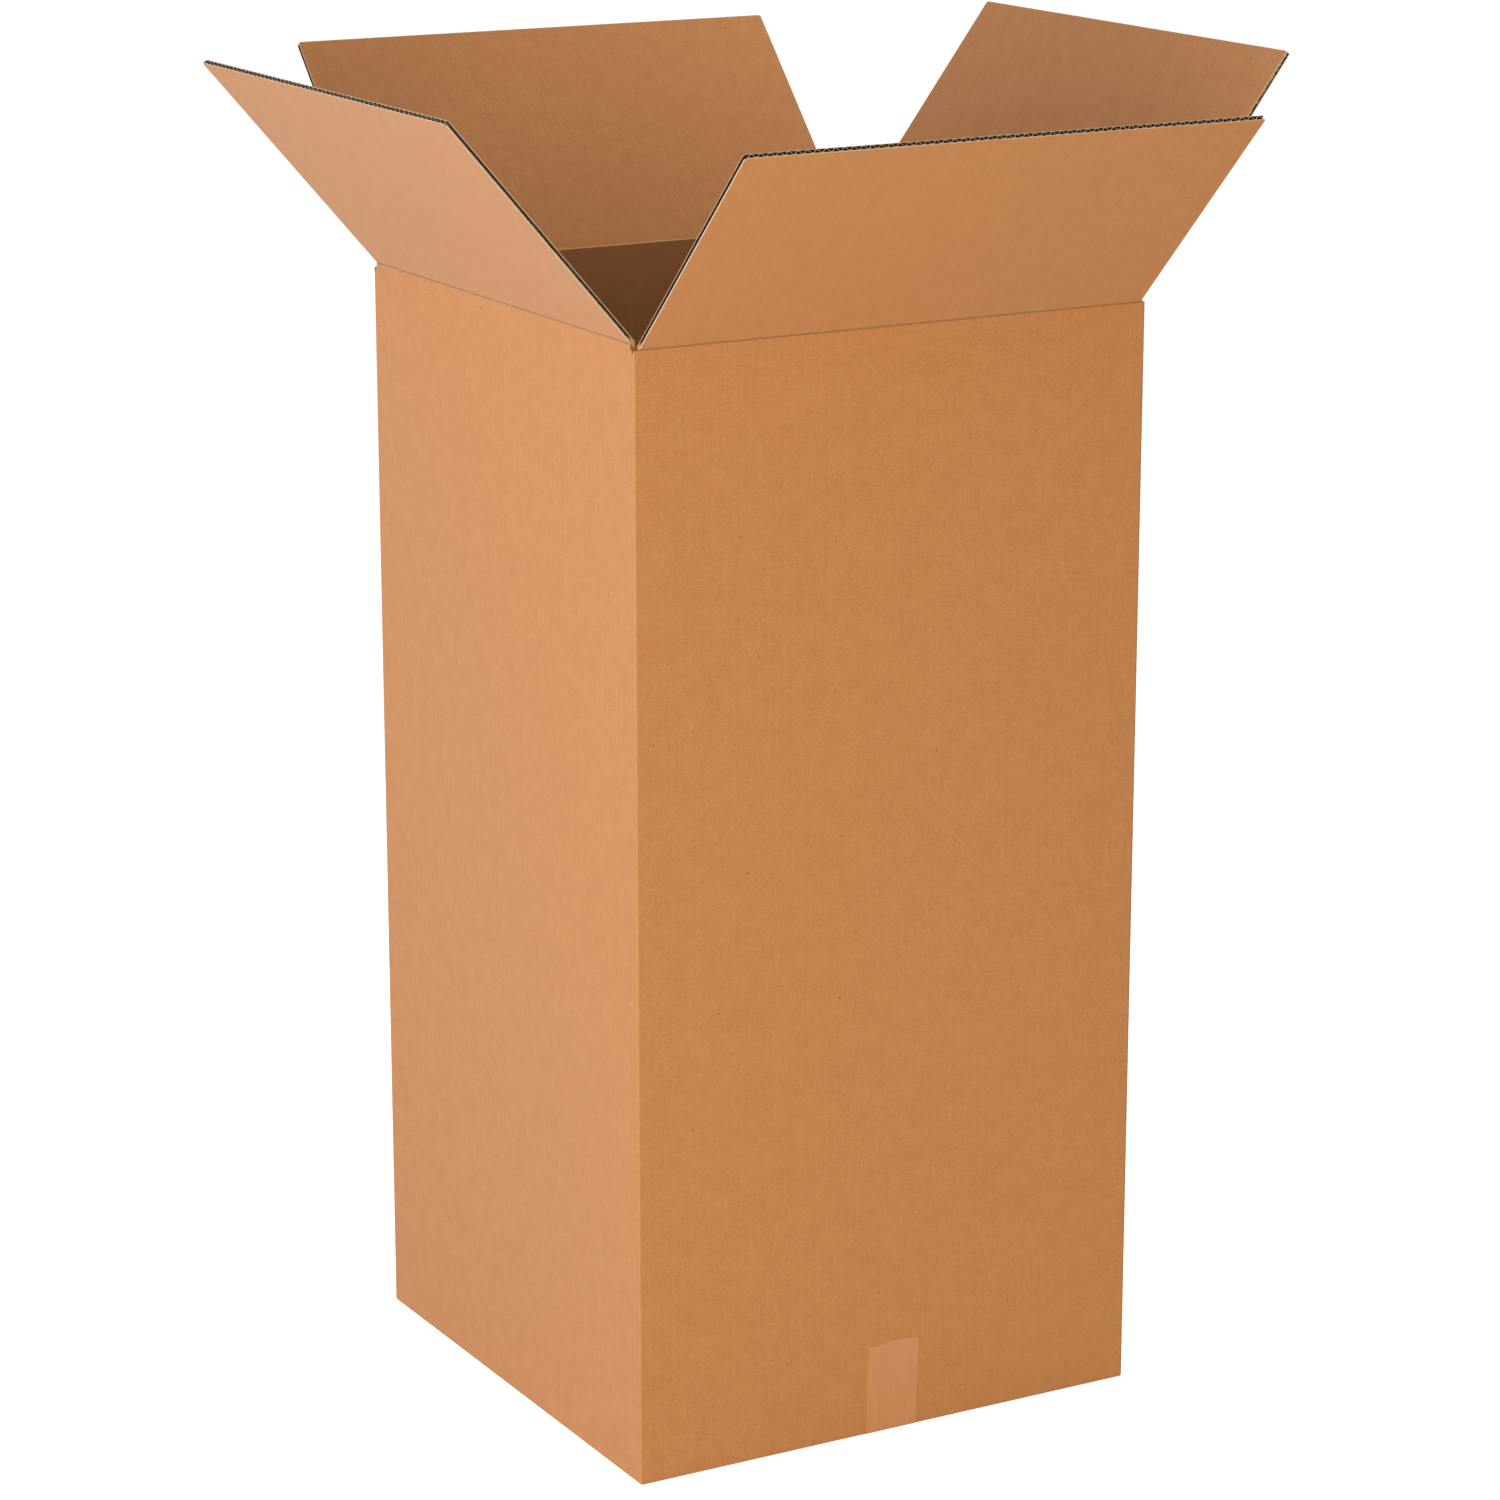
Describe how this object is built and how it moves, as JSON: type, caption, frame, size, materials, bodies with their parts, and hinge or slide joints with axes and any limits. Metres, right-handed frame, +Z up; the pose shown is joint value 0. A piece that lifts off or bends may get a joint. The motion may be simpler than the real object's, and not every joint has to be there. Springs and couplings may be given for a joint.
{
  "type": "tall corrugated box",
  "caption": "Tall square slotted carton of single-wall corrugated board, taped shut underneath, with four open top flaps that fold.",
  "frame": {"origin": "on the floor under the middle of the carton, on the underside of the bottom tape", "axes": "+Z up; -Y out of the front wall, which shows the tape's end; -X out of the left wall"},
  "size_m": [0.7568, 0.7872, 1.1188],
  "materials": {
    "kraft_board": "matt",
    "packing_tape": "satin"
  },
  "bodies": {
    "carton": {"carton_body": "kraft_board", "bottom_tape": "packing_tape"},
    "front_flap": {"top_flap_front": "kraft_board"},
    "right_flap": {"top_flap_right": "kraft_board"},
    "back_flap": {"top_flap_back": "kraft_board"},
    "left_flap": {"top_flap_left": "kraft_board"}
  },
  "joints": [
    {"name": "front_flap_fold", "type": "hinge", "parent": "carton", "child": "front_flap", "pos_m": [0, -0.2326, 0.9269], "axis": [1, 0, 0], "range_deg": [-135, 130]},
    {"name": "right_flap_fold", "type": "hinge", "parent": "carton", "child": "right_flap", "pos_m": [0.2326, 0, 0.9312], "axis": [0, 1, 0], "range_deg": [-127, 138]},
    {"name": "back_flap_fold", "type": "hinge", "parent": "carton", "child": "back_flap", "pos_m": [0, 0.2326, 0.9269], "axis": [-1, 0, 0], "range_deg": [-133, 132]},
    {"name": "left_flap_fold", "type": "hinge", "parent": "carton", "child": "left_flap", "pos_m": [-0.2326, 0, 0.9312], "axis": [0, -1, 0], "range_deg": [-131, 134]}
  ]
}
